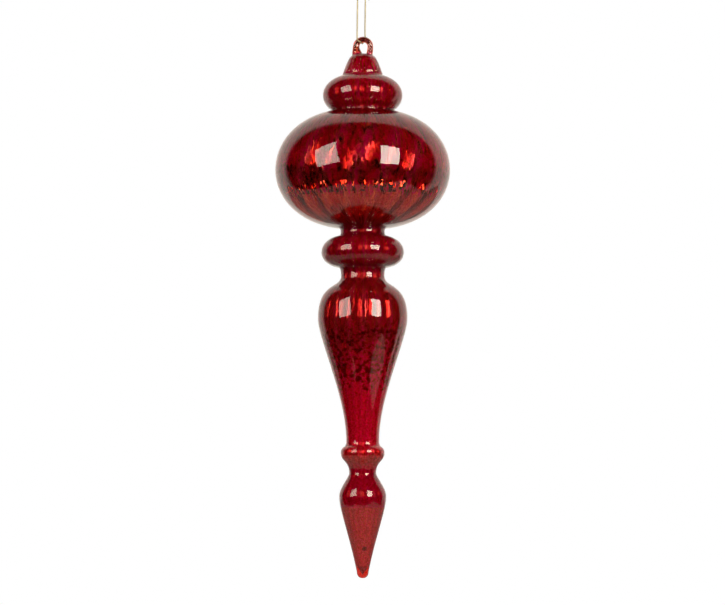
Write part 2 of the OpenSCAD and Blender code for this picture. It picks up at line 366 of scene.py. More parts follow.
        # Each stop's green carries the painted light and shade of its level.
        for stop, (level, share, painted_light_and_shade, crease) in zip(stops, self.by_height):
            stop.position = (level - low) / (top - low)
            stop.color = (share, painted_light_and_shade, crease, 1.0)
        parts = add_node(tree, "ShaderNodeSeparateXYZ", {}, {
            "Vector": ramp.outputs["Color"]}).outputs
        # The speckle and the creases' hollows sway the share of matt silver round its mean.
        around = add_node(tree, "ShaderNodeMath", {"operation": "MULTIPLY_ADD"}, {
            0: speckle, 1: self.speckle_contrast, 2: -self.speckle_contrast / 2 - 0.5})
        hollow = add_node(tree, "ShaderNodeMath", {"operation": "MULTIPLY_ADD"}, {
            0: folds, 1: -self.crease_contrast, 2: self.crease_contrast / 2})
        streaky = add_node(tree, "ShaderNodeMath", {"operation": "MULTIPLY_ADD"}, {
            0: hollow.outputs["Value"], 1: parts["Z"], 2: around.outputs["Value"]})
        matt = add_node(tree, "ShaderNodeMath", {
            "operation": "MULTIPLY_ADD", "use_clamp": True}, {
                0: parts["X"], 1: 2.0, 2: streaky.outputs["Value"]})
        return matt.outputs["Value"], parts["Y"], parts["Z"]

    def folds(self, tree: Tree, place: Socket) -> Socket:
        """Draws the fine creases that run up and down the film.

        Args:
            tree: Node tree of the material.
            place: Object coordinates.

        Returns:
            The relief of the creases about one half.
        """
        flat = add_node(tree, "ShaderNodeVectorMath", {"operation": "MULTIPLY"}, {
            0: place, 1: (1.0, 1.0, 0.0)}).outputs["Vector"]
        outward = add_node(tree, "ShaderNodeVectorMath", {"operation": "NORMALIZE"}, {
            0: flat}).outputs["Vector"]
        level = add_node(tree, "ShaderNodeVectorMath", {"operation": "MULTIPLY"}, {
            0: place, 1: (0.0, 0.0, self.crease_stretch)}).outputs["Vector"]
        upright = add_node(tree, "ShaderNodeVectorMath", {"operation": "MULTIPLY_ADD"}, {
            0: outward, 1: (self.crease_radius, self.crease_radius, 0.0), 2: level})
        return add_node(tree, "ShaderNodeTexNoise", {}, {
            "Vector": upright.outputs["Vector"], "Scale": per_size(self.crease_mm),
            "Detail": 1.0}).outputs["Fac"]

    def creased(self, tree: Tree, folds: Socket, crease: Socket) -> Socket:
        """Bends the film's mirror along the creases.

        Args:
            tree: Node tree of the material.
            folds: Relief of the creases about one half.
            crease: Depth of the creases, from 0 to 1.

        Returns:
            The normal of the creased film.
        """
        relief = add_node(tree, "ShaderNodeMath", {"operation": "MULTIPLY"}, {
            0: folds, 1: crease})
        return add_node(tree, "ShaderNodeBump", {}, {
            "Strength": 1.0, "Distance": self.crease_height_mm * MM,
            "Height": relief.outputs["Value"]}).outputs["Normal"]

    def blackening(self, tree: Tree, place: Socket, height: Socket) -> Socket:
        """Works out how black the silvering has gone at each place.

        Args:
            tree: Node tree of the material.
            place: Object coordinates.
            height: Level in metres.

        Returns:
            The share of black, from 0 to 1, with painted shade added under the ball's middle.
        """
        blotch = add_node(tree, "ShaderNodeTexNoise", {}, {
            "Vector": place, "Scale": per_size(self.blotch_mm), "Detail": 3.0,
            "Roughness": 0.6}).outputs["Fac"]
        needed: Socket | float = self.blotch_rare
        for top, low, threshold in self.belts:
            needed = add_node(tree, "ShaderNodeMath", {"operation": "MULTIPLY_ADD"}, {
                0: within(tree, height, top, low, self.belt_edge),
                1: threshold - self.blotch_rare, 2: needed}).outputs["Value"]
        margin = add_node(tree, "ShaderNodeMath", {"operation": "SUBTRACT"}, {
            0: blotch, 1: needed})
        gone = add_node(tree, "ShaderNodeMapRange", {"interpolation_type": "SMOOTHSTEP"}, {
            "Value": margin.outputs["Value"], "From Min": self.blotch_edge[0],
            "From Max": self.blotch_edge[1]})
        away = add_node(tree, "ShaderNodeVectorMath", {"operation": "DISTANCE"}, {
            0: place, 1: self.spot}).outputs["Value"]
        spot = add_node(tree, "ShaderNodeMapRange", {"interpolation_type": "SMOOTHSTEP"}, {
            "Value": away, "From Min": self.spot_radius * 1.4,
            "From Max": self.spot_radius * 0.8})
        return add_node(tree, "ShaderNodeMath", {"operation": "MAXIMUM"}, {
            0: gone.outputs["Result"], 1: spot.outputs["Result"]}).outputs["Value"]


@dataclass(frozen=True)
class MetallisedThread:
    """Polyester thread twisted with metallised film.

    It gives the eye a dull gold that glints where the film turns to the light. Its filaments
    are too fine to show, so they are drawn three times as coarse.
    """

    gold: str = "#B9AC84"
    core: str = "#6F6549"
    metallic: float = 0.7
    roughness: float = 0.38
    filament_mm: float = 0.12
    filament_height_mm: float = 0.03
    coarser: float = 3.0

    def material(self) -> bpy.types.Material:
        """Builds the thread's gold, darker between its filaments.

        Returns:
            The material.
        """
        material, tree = new_material("metallised_thread")
        place = add_node(tree, "ShaderNodeTexCoord")
        strands = add_node(tree, "ShaderNodeTexNoise", {}, {
            "Vector": place.outputs["Object"],
            "Scale": per_size(self.filament_mm * self.coarser), "Detail": 2.0})
        # The darker gold is mixed in where the filament relief is low, between the filaments.
        colour = add_node(tree, "ShaderNodeMix", {"data_type": "RGBA"}, {
            "Factor": strands.outputs["Fac"], "A": linear(self.core), "B": linear(self.gold)})
        relief = add_node(tree, "ShaderNodeBump", {}, {
            "Strength": 0.5, "Distance": self.filament_height_mm * MM,
            "Height": strands.outputs["Fac"]})
        thread = add_node(tree, "ShaderNodeBsdfPrincipled", {}, {
            "Base Color": colour.outputs["Result"], "Metallic": self.metallic,
            "Roughness": self.roughness, "Normal": relief.outputs["Normal"]})
        add_node(tree, "ShaderNodeOutputMaterial", {}, {"Surface": thread.outputs["BSDF"]})
        return material


@dataclass(frozen=True)
class MattPaper:
    """Seamless white studio paper, uncoated.

    It gives the eye an even, pale ground that is hardly visibly cloudy.
    """

    white: str = "#B4B3B1"
    shade: str = "#ADACAA"
    roughness: float = 0.85
    cloud_mm: float = 90.0

    def material(self) -> bpy.types.Material:
        """Builds the paper, a little cloudy.

        Returns:
            The material.
        """
        material, tree = new_material("matt_studio_paper")
        place = add_node(tree, "ShaderNodeTexCoord")
        clouds = add_node(tree, "ShaderNodeTexNoise", {}, {
            "Vector": place.outputs["Object"], "Scale": per_size(self.cloud_mm)})
        colour = add_node(tree, "ShaderNodeMix", {"data_type": "RGBA"}, {
            "Factor": clouds.outputs["Fac"], "A": linear(self.white),
            "B": linear(self.shade)})
        paper = add_node(tree, "ShaderNodeBsdfPrincipled", {}, {
            "Base Color": colour.outputs["Result"], "Roughness": self.roughness})
        add_node(tree, "ShaderNodeOutputMaterial", {}, {"Surface": paper.outputs["BSDF"]})
        return material


@dataclass(frozen=True)
class Lobe:
    """A bulge of the glass: a superellipse of revolution between two seams. Sizes in mm."""

    radius: float
    up: float
    down: float
    full: float
    top_r: float
    low_r: float

    @property
    def start(self) -> float:
        """Angle of the upper seam, in radians from the pole."""
        return math.asin((self.top_r / self.radius) ** (self.full / 2))

    @property
    def end(self) -> float:
        """Angle of the lower seam, in radians from the pole."""
        return math.pi - math.asin((self.low_r / self.radius) ** (self.full / 2))

    @property
    def height(self) -> float:
        """Height between the two seams."""
        return self.up * math.cos(self.start) - self.down * math.cos(self.end)

    def points(self, top_z: float, count: int) -> list[Point]:
        """Outline under top_z, without its first point.

        Args:
            top_z: Level of the upper seam.
            count: Number of points.

        Returns:
            Radius and level of each point.
        """
        middle = top_z - self.up * math.cos(self.start)
        outline = []
        for i in range(1, count + 1):
            a = self.start + (self.end - self.start) * i / count
            half = self.up if a < math.pi / 2 else self.down
            outline.append((self.radius * math.sin(a) ** (2 / self.full),
                            middle + half * math.cos(a)))
        return outline


def bezier(a: Point, b: Point, c: Point, d: Point, count: int) -> list[Point]:
    """Cubic curve from a to d with the handles b and c, without its first point.

    Args:
        a: Start.
        b: Handle of the start.
        c: Handle of the end.
        d: End.
        count: Number of points.

    Returns:
        The points of the curve.
    """
    curve = []
    for i in range(1, count + 1):
        t = i / count
        weights = ((1 - t) ** 3, 3 * (1 - t) ** 2 * t, 3 * (1 - t) * t * t, t ** 3)
        curve.append((sum(w * p[0] for w, p in zip(weights, (a, b, c, d))),
                      sum(w * p[1] for w, p in zip(weights, (a, b, c, d)))))
    return curve


@dataclass(frozen=True)
class GlassForm:
    """The outline of the glass from the dome of its cap to the tip. Sizes in mm.

    The shares in its methods place the handles of the curves.
    """

    cap_z: float = -6.5
    cap_h: float = 12.6
    dome_h: float = 3.3
    shoulder_r: float = 7.8
    cap_base_r: float = 11.5
    bead: Lobe = Lobe(22.15, 11.8, 11.5, 2.8, 11.5, 15.8)
    ball: Lobe = Lobe(48.5, 33.8, 32.8, 2.5, 15.8, 13.3)
    neck_h: float = 4.6
    neck_r: float = 12.2
    neck_lip_r: float = 13.3
    collar: Lobe = Lobe(22.85, 9.8, 9.0, 3.7, 13.3, 12.9)
    throat_h: float = 4.6
    throat_r: float = 12.05
    vase_r: float = 24.75
    vase_shoulder_h: float = 23.5
    vase_taper_h: float = 67.6
    waist_r: float = 9.05
    flare_h: float = 3.0
    ring: Lobe = Lobe(12.05, 4.2, 5.3, 6.0, 10.0, 0.95 * 12.05)
    ring_cone_h: float = 8.3
    stem_r: float = 7.4
    drop_r: float = 12.95
    drop_up_h: float = 13.0
    drop_taper_h: float = 41.0
    tip_r: float = 3.25
    tip_h: float = 3.55

    @property
    def bead_z(self) -> float:
        """Level of the seam between the cap and the bead."""
        return self.cap_z - self.cap_h

    @property
    def ball_z(self) -> float:
        """Level of the seam between the bead and the ball."""
        return self.bead_z - self.bead.height

    @property
    def neck_z(self) -> float:
        """Level where the ball ends and the neck begins."""
        return self.ball_z - self.ball.height

    @property
    def vase_z(self) -> float:
        """Level where the throat ends and the vase begins."""
        return self.neck_z - self.neck_h - self.collar.height - self.throat_h

    @property
    def waist_z(self) -> float:
        """Level of the waist at the foot of the vase."""
        return self.vase_z - self.vase_shoulder_h - self.vase_taper_h

    @property
    def stem_z(self) -> float:
        """Level of the stem, the narrowest place above the teardrop."""
        return self.waist_z - self.flare_h - self.ring.height - self.ring_cone_h

    @property
    def end_z(self) -> float:
        """Level of the tip's lowest point."""
        return self.stem_z - self.drop_up_h - self.drop_taper_h - self.tip_h

    def outline(self, detail: float) -> np.ndarray:
        """Outline of the glass.

        Args:
            detail: Number of points, as a share of the plain outline's.

        Returns:
            Radius and level of each point, from the pole of the dome to the tip, in mm.
        """
        def count(plain: int) -> int:
            return math.ceil(plain * detail)

        points: list[Point] = [(0.0, self.cap_z)]
        points += self.cap_outline(count(8), count(7))
        points += self.bead.points(self.bead_z, count(20))
        points += self.ball.points(self.ball_z, count(36))
        points += self.neck_outline(count(8))
        collar_z = self.neck_z - self.neck_h
        points += self.collar.points(collar_z, count(22))
        points += self.vase_outline(count(4), count(18), count(20))
        points += self.ring_outline(count(4), count(10), count(8))
        points += self.teardrop_outline(count(10), count(14), count(7))
        return np.array(points)

    def cap_outline(self, dome: int, skirt: int) -> list[Point]:
        """Domed cap and its skirt down to the bead.

        Args:
            dome: Number of points on the dome.
            skirt: Number of points on the skirt.

        Returns:
            Points of the outline.
        """
        r, z = self.shoulder_r, self.cap_z - self.dome_h
        out, fall = self.cap_base_r - r, self.cap_h - self.dome_h
        base = (self.cap_base_r, self.bead_z)
        points = bezier((0.0, self.cap_z), (0.7 * r, self.cap_z),
                        (0.94 * r, z + 0.55 * self.dome_h), (r, z), dome)
        points += bezier((r, z), (r + 0.35 * out, z - 0.22 * fall),
                         (base[0] - 0.22 * out, base[1] + 0.25 * fall), base, skirt)
        return points

    def neck_outline(self, count: int) -> list[Point]:
        """Pinched neck under the ball.

        Args:
            count: Number of points.

        Returns:
            Points of the outline.
        """
        flare = self.neck_lip_r - self.neck_r
        return [(self.neck_r + flare * abs(2 * i / count - 1) ** 3,
                 self.neck_z - self.neck_h * i / count) for i in range(1, count + 1)]

    def vase_outline(self, throat: int, shoulder: int, taper: int) -> list[Point]:
        """Throat, shoulder and long taper of the vase.

        Args:
            throat: Number of points on the throat.
            shoulder: Number of points down to the widest place.
            taper: Number of points down to the waist.

        Returns:
            Points of the outline.
        """
        top_z = self.vase_z + self.throat_h
        flare = self.collar.low_r - self.throat_r
        points = [(self.throat_r + flare * (1 - i / throat) ** 3,
                   top_z - self.throat_h * i / throat) for i in range(1, throat + 1)]
        wide_z = self.vase_z - self.vase_shoulder_h
        points += bezier((self.throat_r, self.vase_z),
                         (self.throat_r, self.vase_z - 0.3 * self.vase_shoulder_h),
                         (self.vase_r, wide_z + 0.86 * self.vase_shoulder_h),
                         (self.vase_r, wide_z), shoulder)
        points += bezier((self.vase_r, wide_z), (self.vase_r, wide_z - 0.17 * self.vase_taper_h),
                         (self.waist_r, self.waist_z + 0.36 * self.vase_taper_h),
                         (self.waist_r, self.waist_z), taper)
        return points

    def ring_outline(self, flare: int, ring: int, cone: int) -> list[Point]:
        """Flare, small ring and the cone down to the stem.

        Args:
            flare: Number of points on the flare.
            ring: Number of points on the ring.
            cone: Number of points on the cone.

        Returns:
            Points of the outline.
        """
        out = self.ring.top_r - self.waist_r
        points = [(self.waist_r + out * (i / flare) ** 3,
                   self.waist_z - self.flare_h * i / flare) for i in range(1, flare + 1)]
        ring_z = self.waist_z - self.flare_h
        points += self.ring.points(ring_z, ring)
        r, z, h = self.ring.low_r, ring_z - self.ring.height, self.ring_cone_h
        points += bezier((r, z), (r - 0.11 * h, z - 0.23 * h),
                         (self.stem_r, self.stem_z + 0.6 * h), (self.stem_r, self.stem_z), cone)
        return points

    def teardrop_outline(self, swell: int, taper: int, tip: int) -> list[Point]:
        """Teardrop and its rounded tip.

        Args:
            swell: Number of points down to the widest place.
            taper: Number of points on the long taper.
            tip: Number of points round the tip.

        Returns:
            Points of the outline.
        """
        wide_z = self.stem_z - self.drop_up_h
        tip_z, fall = wide_z - self.drop_taper_h, self.drop_taper_h
        points = bezier((self.stem_r, self.stem_z),
                        (self.stem_r, self.stem_z - 0.19 * self.drop_up_h),
                        (self.drop_r, wide_z + 0.39 * self.drop_up_h),
                        (self.drop_r, wide_z), swell)
        points += bezier((self.drop_r, wide_z), (self.drop_r, wide_z - 0.18 * fall),
                         (self.tip_r + 0.1 * fall, tip_z + 0.49 * fall), (self.tip_r, tip_z),
                         taper)
        for i in range(1, tip + 1):
            a = math.pi / 2 * i / tip
            r = self.tip_r * max(math.cos(a), 0.0) ** 0.8 if i < tip else 0.0
            points.append((r, tip_z - self.tip_h * math.sin(a)))
        return points


@dataclass
class BlownBody:
    """The smooth outside of the glass and the ribbed silvering on its inside. Sizes in mm.

    The ribs turn as they run down, and they are shallower where the glass is narrow.
    """

    form: GlassForm = field(default_factory=GlassForm)
    wall: float = 1.6
    cap_wall: float = 3.0
    tip_solid_h: float = 5.0
    tip_point_h: float = 2.2
    rib_count: int = 18
    rib_depth: float = 0.45
    rib_fade_r: float = 15.0
    rib_phase: float = 12.5
    ball_swirl: float = 30.0
    vase_swirl: float = 8.0
    cap_rib: float = 0.06
    steps_per_rib: int = 12
    outside_detail: float = 1.6
    inside_detail: float = 1.3
    cap_rows: int = 4

    def outside(self) -> bpy.types.Object:
        """Builds the outside as one closed skin, smooth but for faint ribs on the cap.

        Returns:
            The outside of the glass.
        """
        rows = self.form.outline(self.outside_detail)
        angles, ribs = self.around()
        rings = []
        for r, z in rows[1:-1]:
            radius = r + self.cap_rib * self.cap_share(z) * ribs
            rings.append(np.column_stack((radius * np.cos(angles), radius * np.sin(angles),
                                          np.full(angles.size, z))))
        return self.skin("glass_outside", rows[0][1], rings, rows[-1][1])

    def silvering(self) -> bpy.types.Object:
        """Builds the ribbed inside of the wall, from the cap to the teardrop's tip.

        Returns:
            The silvered inside.
        """
        rows = self.form.outline(self.inside_detail)
        angles, ribs = self.around()
        rings = []
        end_z = self.form.end_z + self.tip_solid_h
        for i in range(self.cap_rows, len(rows) - 2):
            if rows[i][1] < end_z + self.wall:
                break
            low = rows[i]
            along = rows[i + 1] - rows[i - 1]
            inward = np.array([along[1], -along[0]]) / np.linalg.norm(along)
            depth = self.wall_at(low[1]) + self.rib_at(low[0]) * ribs
            turn = angles + math.radians(self.rib_phase + self.swirl(low[1]))
            radius = low[0] + depth * inward[0]
            rings.append(np.column_stack((radius * np.cos(turn), radius * np.sin(turn),
                                          low[1] + depth * inward[1])))
        return self.skin("silvered_inside", self.form.cap_z - self.cap_wall, rings,
                         self.form.end_z + self.tip_point_h)

    def around(self) -> tuple[np.ndarray, np.ndarray]:
        """Goes once round a ring.

        Returns:
            The angle of each point, in radians, and the rib's height there, from -1 to 1.
        """
        angles = np.linspace(0, 2 * math.pi, self.rib_count * self.steps_per_rib, endpoint=False)
        return angles, np.cos(self.rib_count * angles)

    def cap_share(self, z: float) -> float:
        """How strongly the ribs still show outside at a level: only on the cap's skirt."""
        rise = (z - self.form.bead_z) / self.form.cap_h
        return ease(4 * rise) * ease(4 * (1 - rise))

    def wall_at(self, z: float) -> float:
        """Mean wall at a level: thicker towards the top of the cap."""
        rise = max(0.0, z - self.form.bead_z) / self.form.cap_h
        return self.wall + (self.cap_wall - self.wall) * rise ** 4

    def rib_at(self, r: float) -> float:
        """Depth of the ribs at a radius: full on the ball, shallow where the glass is narrow."""
        return (self.rib_depth * math.sqrt(r / self.form.ball.radius)
                * min(1.0, r / self.rib_fade_r))

    def swirl(self, z: float) -> float:
        """Works out how far the ribs have turned at a level.

        Args:
            z: The level, in mm.

        Returns:
            The turn in degrees.
        """
        down_ball = (self.form.ball_z - z) / (self.form.ball_z - self.form.neck_z)
        down_vase = (self.form.vase_z - z) / (self.form.vase_z - self.form.waist_z)
        return (-self.ball_swirl * min(max(down_ball, 0.0), 1.0)
                - self.vase_swirl * ease(down_vase))

    @staticmethod
    def skin(name: str, top: float, rings: list[np.ndarray], end: float) -> bpy.types.Object:
        """Joins rings into a closed skin between two poles.

        Args:
            name: Name of the piece.
            top: Level of the upper pole, in mm.
            rings: Rings of points from the top down, in mm.
            end: Level of the lower pole, in mm.

        Returns:
            The piece, in metres.
        """
        steps = len(rings[0])
        points = np.vstack([(0, 0, top), *rings, (0, 0, end)]) * MM
        last = len(points) - 1
        foot = last - steps
        faces: list[tuple[int, ...]] = []
        for k in range(steps):
            j = (k + 1) % steps
            faces.append((0, 1 + k, 1 + j))
            for i in range(len(rings) - 1):
                a, b = 1 + i * steps, 1 + (i + 1) * steps
                faces.append((a + k, b + k, b + j, a + j))
            faces.append((foot + k, last, foot + j))
        return new_piece(name, points, faces)


@dataclass
class DrawnEye:
    """The glass eye: a rod drawn up from the cap, bent over and pressed back. Sizes in mm."""

    hole_r: float = 2.35
    rod_r: float = 1.55
    foot_r: float = 3.2
    end_r: float = 1.85
    shift: float = 0.35
    swell: float = 0.25
    lean: float = 0.2
    bow: float = 0.5
    foot_in: float = 0.75
    end_in: float = 0.9
    sunk: float = 1.6
    sides: int = 40
    core_share: float = 0.5
    core_trim: int = 3
    melt_mm: float = 1.1
    melt_down: float = 1.6
    melt_rounds: int = 10

    def rod(self, cap_z: float) -> tuple[np.ndarray, np.ndarray]:
        """Works out the rod's middle line and its radius along it.

        Args:
            cap_z: Level of the dome, in mm.

        Returns:
            Points of the middle line and the radius at each, in mm.
        """
        bend = self.hole_r + self.rod_r
        sunk_z, bend_z = cap_z - self.sunk, -self.hole_r
        foot_x, left_x = self.shift - bend + self.foot_in, self.shift - bend - self.lean
        right_x = self.shift + bend
        line: list[Point3] = []
        radii: list[float] = []
        for t in np.linspace(0, 0.96, 24):
            line.append((foot_x + (left_x - foot_x) * t - self.bow * t * (1 - t), 0.0,
                         sunk_z + (bend_z - sunk_z) * t))
            radii.append(self.foot_r + (self.rod_r + self.swell - self.foot_r) * ease(t))
        for t in np.linspace(0, 1, 48):
            line.append((self.shift - bend * math.cos(math.pi * t), 0.0,
                         bend_z + bend * math.sin(math.pi * t)))
            radii.append(self.rod_r + self.swell * (1 - t) ** 2)
        for t in np.linspace(0.05, 1, 20):
            line.append((right_x - self.end_in * t * t, 0.0, bend_z + (sunk_z - bend_z) * t))
            radii.append(self.rod_r + (self.end_r - self.rod_r) * t)
        return np.array(line), np.array(radii)

    def silver_core(self, cap_z: float) -> bpy.types.Object:
        """Builds the thread of silvering that was drawn up into the eye with the glass.

        Args:
            cap_z: Level of the dome, in mm.

        Returns:
            The silvered core.
        """
        line, radii = self.rod(cap_z)
        kept = slice(self.core_trim, -self.core_trim)
        inner = self.core_share * radii[kept] * MM
        return new_piece("silvered_core", *swept_tube(line[kept] * MM, inner, self.sides))

    def melt_onto(self, body: bpy.types.Object, cap_z: float) -> None:
        """Joins the eye to the outside of the glass and rounds the joint between them.

        Args:
            body: The smooth outside of the glass.
            cap_z: Level of the dome, in mm.
        """
        line, radii = self.rod(cap_z)
        eye = new_piece("drawn_eye", *swept_tube(line * MM, radii * MM, self.sides))
        union = body.modifiers.new("eye", "BOOLEAN")
        union.operation = "UNION"
        union.solver = "EXACT"
        union.object = eye
        joined = body.evaluated_get(bpy.context.evaluated_depsgraph_get())
        mesh = bpy.data.meshes.new_from_object(joined)
        body.modifiers.clear()
        bpy.data.objects.remove(eye)
        body.data = mesh
        self.round_joint(mesh, line * MM, radii * MM, cap_z * MM)

    def round_joint(self, mesh: bpy.types.Mesh, line: np.ndarray, radii: np.ndarray,
                    cap_z: float) -> None:
        """Smooths the mesh where the rod and the dome meet, as melted glass flows.

        Args:
            mesh: Mesh of the glass with its eye.
            line: Middle line of the rod, in metres.
            radii: Radius at each of its points, in metres.
            cap_z: Level of the dome, in metres.
        """
        net = bmesh.new()
        net.from_mesh(mesh)
        reach = self.melt_mm * MM
        soft = []
        for vert in net.verts:
            if not cap_z - self.melt_down * reach <= vert.co.z < cap_z + reach:
                continue
            gap = np.linalg.norm(line - np.array(vert.co), axis=1) - radii
            if gap.min() < reach:
                soft.append(vert)
        for _ in range(self.melt_rounds):
            bmesh.ops.smooth_vert(net, verts=soft, factor=0.5, use_axis_x=True,
                                  use_axis_y=True, use_axis_z=True)
        net.to_mesh(mesh)
        net.free()
        mesh.shade_smooth()


@dataclass
class GlassDrop:
    """The blown glass: its body and its eye in one skin, with the silvering inside both."""

    body: BlownBody = field(default_factory=BlownBody)
    eye: DrawnEye = field(default_factory=DrawnEye)

    def build(self, glass: bpy.types.Material,
              film: bpy.types.Material) -> list[bpy.types.Object]:
        """Builds the glass and the silvering, and dresses them.

        Args:
            glass: Material of the glass.
            film: Material of the silvering.

        Returns:
            The glass, the silvered inside of the body and the silvered core of the eye.
        """
        cap_z = self.body.form.cap_z
        outside = self.body.outside()
        self.eye.melt_onto(outside, cap_z)
        outside.data.materials.append(glass)
        silvered = [self.body.silvering(), self.eye.silver_core(cap_z)]
        for piece in silvered:
            piece.data.materials.append(film)
        return [outside, *silvered]


def swept_tube(line: np.ndarray, radii: np.ndarray, sides: int, plies: int = 0,
               ply_depth: float = 0.0, turns: float = 0.0) -> tuple[np.ndarray, list]:
    """Sweeps a round or a twisted section along a line, without twisting the frame.

    Args:
        line: Points of the middle line.
        radii: Outer radius at each point.
        sides: Number of points round the section.
        plies: Number of strands laid together, or 0 for a round section.
        ply_depth: Depth of the grooves between strands, as a share of the radius.
        turns: Whole turns that the strands make along the line.

    Returns:
        The vertices and the faces of a closed tube.
    """
    ahead = np.gradient(line, axis=0)
    ahead /= np.linalg.norm(ahead, axis=1)[:, None]
    side = np.cross(ahead[0], (0.0, 1.0, 0.0) if abs(ahead[0][1]) < 0.9 else (1.0, 0.0, 0.0))
    angles = np.linspace(0, 2 * math.pi, sides, endpoint=False)
    travelled = np.concatenate(([0.0], np.cumsum(np.linalg.norm(np.diff(line, axis=0), axis=1))))
    rows = []
    for i, (point, way) in enumerate(zip(line, ahead)):
        side = side - (side @ way) * way
        side /= np.linalg.norm(side)
        across = np.cross(way, side)
        lay = 2 * math.pi * turns * travelled[i] / travelled[-1]
        groove = ply_depth * (1 - np.abs(np.cos(plies / 2 * (angles - lay)))) if plies else 0.0
        radius = radii[i] * (1 - groove) * np.ones(sides)
        rows.append(point + (radius * np.cos(angles))[:, None] * side
                    + (radius * np.sin(angles))[:, None] * across)
    faces: list[tuple[int, ...]] = [tuple(range(sides))]
    for i in range(len(rows) - 1):
        for k in range(sides):
            a, b = i * sides + k, i * sides + (k + 1) % sides
            faces.append((a, a + sides, b + sides, b))
    faces.append(tuple(range(len(rows) * sides - 1, (len(rows) - 1) * sides - 1, -1)))
    return np.vstack(rows), faces


def smooth_route(points: list[Point3], step: float) -> np.ndarray:
    """Runs a smooth line through the points of a route.

    Args:
        points: The route, in metres.
        step: Rough distance between the new points, in metres.

    Returns:
        Points of the smooth line.
    """
    route = [Vector(p) for p in points]
    route = [2 * route[0] - route[1], *route, 2 * route[-1] - route[-2]]
    line = []
    for a, b, c, d in zip(route, route[1:], route[2:], route[3:]):
        parts = max(1, round((c - b).length / step))
        for i in range(parts):
            t = i / parts
            line.append(0.5 * ((2 * b) + (c - a) * t + (2 * a - 5 * b + 4 * c - d) * t * t
                               + (3 * b - a - 3 * c + d) * t ** 3))
    line.append(route[-2])
    return np.array([tuple(p) for p in line])


@dataclass
class HangingThread:
    """The thread from its knot through the eye, over its top bend and back. Sizes in mm."""

    thickness: float = 0.8
    lay_length: float = 2.2
    plies: int = 3
    groove: float = 0.3
    sides: int = 24
    knot_low: Point3 = (1.5, 1.1, 25.0)
    knot_h: float = 3.0
    way: tuple[Point3, ...] = (
        (1.5, 1.1, 23.5), (1.45, 1.2, 20), (1.4, 1.4, 16), (1.35, 1.55, 12.5), (1.3, 1.7, 9),
        (1.3, 1.9, 5.5), (1.4, 2.1, 3.4), (1.35, 2.15, 2), (1, 2.1, 1.2), (0.5, 1.9, 0.55),
        (0.15, 1.4, -0.05), (-0.05, 0.75, -0.5), (-0.25, 0, -0.7), (-0.5, -0.75, -0.65),
        (-0.9, -1.45, -0.4), (-1.55, -2, 0), (-2.3, -2.2, 0.4), (-2.85, -2.25, 0.95),
        (-3.1, -2.2, 2), (-3.1, -2.1, 3.5), (-3.1, -1.95, 6), (-3.05, -1.8, 9),
        (-3, -1.6, 13), (-2.95, -1.4, 17), (-2.9, -1.2, 21), (-2.85, -1, 25),
        (-2.8, -0.8, 29), (-2.7, -0.6, 32.3), (-2.4, -0.4, 34), (-1.7, -0.1, 35.4),
        (-0.65, 0.25, 35.9), (0.4, 0.6, 35.4), (1.2, 0.9, 34), (1.5, 1.1, 32.2))

    def route(self) -> list[Point3]:
        """Lists the route, from under the knot through the eye and round to the knot's top.

        Returns:
            Points of the route, in metres.
        """
        x, y, z = self.knot_low
        top = z + self.knot_h
        points = [self.knot_low, *self.way, (x, y, top + 1.5), (x, y, top)]
        return [(p[0] * MM, p[1] * MM, p[2] * MM) for p in points]

    def build(self, finish: bpy.types.Material) -> tuple[bpy.types.Object, np.ndarray]:
        """Builds the twisted thread.

        Args:
            finish: Material of the thread.

        Returns:
            The thread and the line that it follows.
        """
        line = smooth_route(self.route(), 0.25 * MM)
        length = np.linalg.norm(np.diff(line, axis=0), axis=1).sum()
        radii = np.full(len(line), self.thickness / 2 * MM)
        thread = new_piece("twisted_thread", *swept_tube(
            line, radii, self.sides, self.plies, self.groove, length / (self.lay_length * MM)))
        thread.data.materials.append(finish)
        return thread, line


